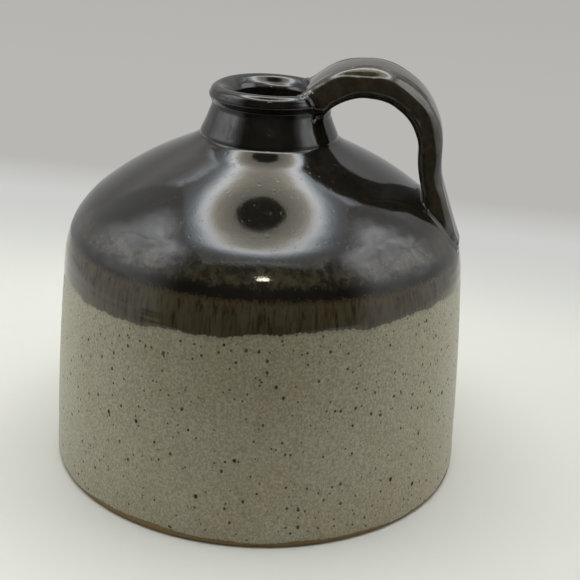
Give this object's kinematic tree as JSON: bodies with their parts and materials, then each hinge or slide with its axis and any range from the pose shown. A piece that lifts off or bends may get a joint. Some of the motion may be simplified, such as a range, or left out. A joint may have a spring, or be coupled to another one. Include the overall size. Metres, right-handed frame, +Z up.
{
  "type": "whiskey jug",
  "caption": "Squat stoneware jug with a broad shoulder, short flared neck, rolled lip and one strap handle; open mouth, hollow inside.",
  "frame": {"origin": "centre of the round base, on the surface the jug stands on", "axes": "+Z up along the jug's turning axis, +X towards the handle"},
  "size_m": [0.165, 0.165, 0.1641],
  "materials": {
    "glazed_stoneware": "glossy dark brown glaze above, satin speckled grey-green glaze below, bare clay foot"
  },
  "bodies": {
    "root": {"jug": "glazed_stoneware"}
  },
  "joints": []
}
